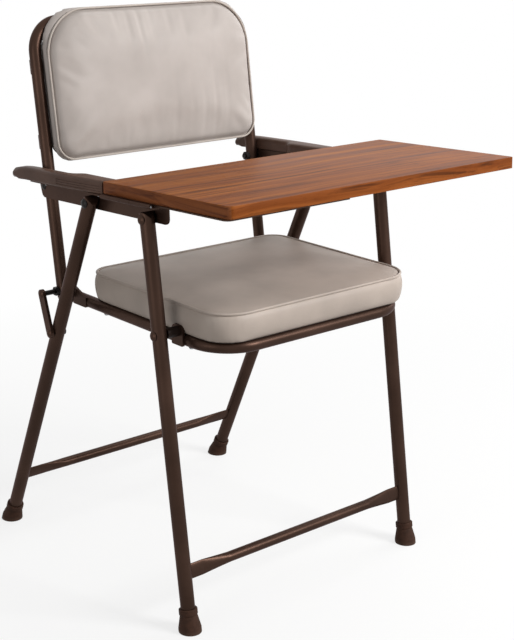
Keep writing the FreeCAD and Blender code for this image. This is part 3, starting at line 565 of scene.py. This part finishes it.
# soft pulls in the covering: x, height, half length, half width, depth in mm
backPulls = [(-76, 414, 24, 5, 0.7), (-52, 404, 34, 5, 1.2), (-30, 398, 44, 5, 1.5), (-6, 410, 28, 5, 0.8),
             (28, 408, 34, 6, 0.9), (58, 396, 40, 6, 0.7), (107, 268, 62, 5, 1.4), (84, 254, 44, 5, 1.0),
             (132, 280, 46, 5, 0.9), (25, 252, 54, 6, 1.0), (58, 270, 42, 6, 0.8), (-71, 226, 24, 6, 0.5)]


def pullCovering(vert, form):
    deep = insideBy(vert.co, form)
    if vert.co.z > form["seam"] - form["faceMargin"] and deep > 0:  # the covering dips beside the piping
        dip = math.exp(-((deep - form["valleyIn"]) / form["valleyWide"]) ** 2)
        vert.co.z -= form["valley"] * dip * min(2 * deep / form["valleyIn"], 1)
    if vert.co.z > form["seam"] + form["faceMargin"]:
        for x, height, length, width, depth in backPulls:
            dx = (vert.co.x / mm - x) / width
            dy = (vert.co.y / mm - height) / length
            if abs(dx) < 4 and abs(dy) < 3:  # past this the pull is too faint to count
                fold = 1.4 * math.exp(-dx * dx) - 0.5 * math.exp(-dx * dx / 4)  # a dip between two low ridges
                vert.co.z -= depth * mm * fold * math.exp(-dy * dy)


def makeBackCushion(form):
    bm = stuff(form)
    bmesh.ops.subdivide_edges(bm, edges=bm.edges, cuts=1, use_grid_fill=True)
    for vert in bm.verts:
        pullCovering(vert, form)
    relax(bm, bm.verts)
    core = slab(formCorners(coreForm, 0), filling["cornerSteps"],
                form["coreLow"], form["base"] + form["coreInto"])
    rim = [edge for edge in core.edges if all(v.co.z < 0 for v in edge.verts)]
    bevel(core, rim, form["coreRim"], form["coreRimSteps"])
    addOn(bm, core)
    welt = pipingRing(form)
    for face in welt.faces:
        face.material_index = 1
    addOn(bm, welt)
    covers = [finishes["leatherette"], paleWelt]
    cushion = makePiece("backCushion", bm, backPlace, covers, "back")
    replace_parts(cushion, "back_cushion")
    return cushion


backCushion = makeBackCushion(backForm)
print("back cushion", len(backCushion.data.polygons), "faces")


# writing board: veneered face with lipped edges

boardForm = {"near": -233 * mm, "far": 342 * mm, "rear": -55 * mm, "front": -347 * mm,
             "low": 632 * mm, "high": 650 * mm, "small": 3 * mm, "corner": 10 * mm, "cornerSteps": 8,
             "arris": 0.8 * mm, "arrisSteps": 3, "sharp": math.radians(50)}


def makeWritingBoard(form):
    corners = [(form["near"], form["front"], form["corner"]), (form["far"], form["front"], form["small"]),
               (form["far"], form["rear"], form["small"]), (form["near"], form["rear"], form["small"])]
    bm = slab(corners, form["cornerSteps"], form["low"], form["high"])
    edges = [edge for edge in bm.edges if abs(edge.verts[0].co.z - edge.verts[1].co.z) < hair]
    bevel(bm, edges, form["arris"], form["arrisSteps"])
    bm.normal_update()
    for face in bm.faces:
        if abs(face.normal.z) < 0.5:  # an edge: the ends have their own lipping
            face.material_index = 1 if abs(face.normal.x) > 0.6 else 2
    woods = [finishes["board_veneer"], sideLipping, frontLipping]
    board = makePiece("writingBoard", bm, armPlace, woods, "board")
    board.data.set_sharp_from_angle(angle=form["sharp"])
    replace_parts(board, "writing_board")
    return board


writingBoard = makeWritingBoard(boardForm)
print("writing board", len(writingBoard.data.polygons), "faces")


# arm pads: moulded, round-nosed at the rear, with three fine grooves along the outer side

padForm = {
    "narrow": 218.2 * mm, "wide": 203.7 * mm, "outer": 241.2 * mm, "rear": 197 * mm, "front": -54.5 * mm,
    "step": 30 * mm, "stepEnd": 44 * mm, "stepRadius": 8 * mm, "rearRadius": 11.4 * mm, "cornerSteps": 8,
    "low": 630 * mm, "high": 650 * mm, "topEdge": 6.5 * mm, "lowEdge": 2.5 * mm, "edgeSteps": 5,
    "slices": (-40, -20, 0, 20, 40, 80, 100, 120, 135, 150, 160, 168, 173, 178, 182,
               185.5, 188.5, 191, 193, 194.6, 195.8),  # mm along the pad, closer at the nose
    "grooves": (634, 637.6, 641.2),  # heights in mm
    "grooveWidth": 1.4 * mm, "grooveDepth": 1.0 * mm, "grooveEnd": 58 * mm, "grooveWall": 0.2 * mm,
    "skin": 0.1 * mm,
    "slope": 120 * mm, "drop": 2 * mm, "nose": 16 * mm, "noseHeight": 9.5 * mm, "noseFill": 0.9,
    "held": 140 * mm, "droop": 3.5 * mm, "shorter": 5 * mm,
    "flush": 60 * mm, "tuck": 7.4 * mm, "tuckPower": 1.3,  # tucked in to meet the board's edge
    "sharp": math.radians(38),
}


def cutLevel(bm, axis, level):
    plane = Vector((0, 0, 0))
    plane[axis] = 1
    everything = bm.verts[:] + bm.edges[:] + bm.faces[:]
    bmesh.ops.bisect_plane(bm, geom=everything, dist=hair, plane_co=plane * level, plane_no=plane)


def cutGrooves(bm, form):
    for level in form["grooves"]:
        cutLevel(bm, 2, level * mm)
        cutLevel(bm, 2, level * mm + form["grooveWidth"])
    for level in form["grooves"]:
        strip = [face for face in bm.faces if face.calc_center_median().x > form["outer"] - form["skin"]
                 and 0 < face.calc_center_median().z - level * mm < form["grooveWidth"]
                 and face.calc_center_median().y < form["grooveEnd"]]
        bmesh.ops.inset_region(bm, faces=strip, thickness=form["grooveWall"], depth=-form["grooveDepth"],
                               use_boundary=False)


def shapePad(vert, form):
    t = max(0, (vert.co.y - form["slope"]) / (form["rear"] - form["slope"]))
    vert.co.z -= form["drop"] * t * t * (vert.co.z - form["low"]) / (form["high"] - form["low"])
    halfWide = (form["outer"] - form["narrow"]) / 2
    turnY = form["rear"] - halfWide
    n = min(max((vert.co.y - turnY + form["nose"]) / form["nose"], 0), 1)
    out = min(math.hypot(vert.co.x - form["outer"] + halfWide, max(0, vert.co.y - turnY)) / halfWide, 1)
    mid = form["low"] + form["noseHeight"]
    thinner = n * n * (3 - 2 * n) * (1 - math.sqrt(1 - form["noseFill"] * out * out))  # a bullet nose
    vert.co.z = mid + (vert.co.z - mid) * (1 - thinner)
    free = max(0, (vert.co.y - form["held"]) / (form["rear"] - form["held"]))
    vert.co.z -= form["droop"] * free * free  # behind the bracket it bends down
    vert.co.y -= form["shorter"] * free
    fore = max(0, (form["flush"] - vert.co.y) / (form["flush"] - form["front"]))
    if vert.co.x > form["narrow"]:
        share = (vert.co.x - form["narrow"]) / (form["outer"] - form["narrow"])
        vert.co.x -= form["tuck"] * fore ** form["tuckPower"] * share


def makeArmPad(form, side, name):
    corners = [(form["narrow"], form["rear"], form["rearRadius"]),
               (form["narrow"], form["stepEnd"], form["stepRadius"]),
               (form["wide"], form["step"], form["stepRadius"]), (form["wide"], form["front"], 0),
               (form["outer"], form["front"], 0), (form["outer"], form["rear"], form["rearRadius"])]
    bm = slab(corners, form["cornerSteps"], form["low"], form["high"])
    ends = form["front"] + form["skin"]
    for level, width in ((form["high"], form["topEdge"]), (form["low"], form["lowEdge"])):
        rim = [edge for edge in bm.edges if all(abs(v.co.z - level) < hair for v in edge.verts)
               and max(v.co.y for v in edge.verts) > ends]
        bevel(bm, rim, width, form["edgeSteps"])
    for level in form["slices"]:
        cutLevel(bm, 1, level * mm)
    cutLevel(bm, 1, form["grooveEnd"])
    cutGrooves(bm, form)
    for vert in bm.verts:
        shapePad(vert, form)
    bmesh.ops.scale(bm, verts=bm.verts, vec=(side, 1, 1))
    pad = makePiece(name, bm, armPlace, [finishes["pad_plastic"]], "arms")
    pad.data.set_sharp_from_angle(angle=form["sharp"])
    return pad


for side, word in ((1, "left"), (-1, "right")):
    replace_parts(makeArmPad(padForm, side, word + "ArmPad"), "arm_pad_" + word)
print("arm pads")


# floor, light and camera

studio = {"floorSize": 14.0, "floorSeen": "#fbfbfa", "floorBounce": "#8c8b89",  # gives back less than it shows
          "ambient": 0.24, "shadowShare": 0.24, "shadowNear": 0.45, "shadowFar": 1.5,
          "aim": (midX, 0.0, 0.45),
          "lamps": (("keyLamp", (1.15, -2.5, 1.9), 1.1, 84), ("rightLamp", (2.6, -0.2, 1.6), 1.2, 18),
                    ("leftLamp", (-2.5, -0.5, 0.85), 1.2, 11), ("topLamp", (1.3, 0.3, 2.5), 1.2, 11))}
photoView = {"place": (-1.40828, -1.67865, 1.06081), "azimuth": -40.737, "elevation": 17.277, "roll": 0.465,
             "lens": 78.14, "sensor": 36, "farthest": 40}


def seenStraight(tree, path):  # 1 for a ray from the camera, from a reflection or through something clear
    seen = addNode(tree, "Math", {"operation": "MAXIMUM"},
                   {0: path.outputs["Is Camera Ray"], 1: path.outputs["Is Glossy Ray"]})
    return addNode(tree, "Math", {"operation": "MAXIMUM"},
                   {0: seen.outputs[0], 1: path.outputs["Is Transmission Ray"]}).outputs[0]


def whitePaper():  # matt white paper: seen as white, keeps a share of the shadow near the feet
    paper = bpy.data.materials.new("whitePaper")
    paper.use_nodes = True
    tree = paper.node_tree
    tree.nodes.clear()
    path = addNode(tree, "LightPath")
    seen = seenStraight(tree, path)
    place = addNode(tree, "TexCoord").outputs["Object"]
    far = addNode(tree, "VectorMath", {"operation": "LENGTH"}, {0: place})
    plain = addNode(tree, "MapRange", {"From Min": studio["shadowNear"], "From Max": studio["shadowFar"],
                                       "To Min": 1 - studio["shadowShare"], "To Max": 1.0},
                    {"Value": far.outputs["Value"]})  # the shadow dies out away from the feet
    share = addNode(tree, "Math", {"operation": "MULTIPLY"}, {0: seen, 1: plain.outputs["Result"]})
    tones = {"Color1": lin(studio["floorBounce"]), "Color2": lin(studio["floorSeen"])}
    sheen = addNode(tree, "MixRGB", tones, {"Fac": path.outputs["Is Camera Ray"]})
    sheet = addNode(tree, "BsdfDiffuse", None, {"Color": sheen.outputs["Color"]})
    white = addNode(tree, "Emission", {"Strength": 1.0})
    mixed = addNode(tree, "MixShader", None,
                    {"Fac": share.outputs[0], 1: sheet.outputs[0], 2: white.outputs[0]})
    addNode(tree, "OutputMaterial", None, {"Surface": mixed.outputs[0]})
    return paper


def makeFloor():
    bm = bmesh.new()
    bmesh.ops.create_grid(bm, x_segments=4, y_segments=4, size=studio["floorSize"] / 2)
    floor = newObject("studioFloor", toMesh("studioFloor", bm))
    floor.data.materials.append(whitePaper())


def makeLight():
    world = bpy.data.worlds.new("studioWorld")
    scene.world = world
    world.use_nodes = True
    tree = world.node_tree
    seen = seenStraight(tree, addNode(tree, "LightPath"))
    level = addNode(tree, "MapRange", {"To Min": studio["ambient"], "To Max": 1.0}, {"Value": seen})
    sky = tree.nodes["Background"]
    sky.inputs["Color"].default_value = (1, 1, 1, 1)
    tree.links.new(level.outputs["Result"], sky.inputs["Strength"])
    for name, place, size, power in studio["lamps"]:
        light = bpy.data.lights.new(name, "AREA")
        light.size = size
        light.energy = power
        lamp = newObject(name, light)
        spot = Vector(place)
        turn = (Vector(studio["aim"]) - spot).to_track_quat("-Z", "Y")
        lamp.matrix_world = Matrix.Translation(spot) @ turn.to_matrix().to_4x4()


def makeCamera():
    camera = newObject("photoCamera", bpy.data.cameras.new("photoCamera"))
    scene.camera = camera
    camera.data.lens = photoView["lens"]
    camera.data.sensor_width = photoView["sensor"]
    camera.data.clip_end = photoView["farthest"]
    turn, rise = math.radians(photoView["azimuth"]), math.radians(photoView["elevation"])
    away = Vector((math.sin(turn) * math.cos(rise), -math.cos(turn) * math.cos(rise), math.sin(rise)))
    aim = (-away).to_track_quat("-Z", "Y").to_matrix().to_4x4()
    roll = Matrix.Rotation(math.radians(photoView["roll"]), 4, "Z")
    camera.matrix_world = Matrix.Translation(photoView["place"]) @ aim @ roll


makeFloor()
makeLight()
makeCamera()
scene.view_settings.view_transform = "Standard"
print("studio ready")
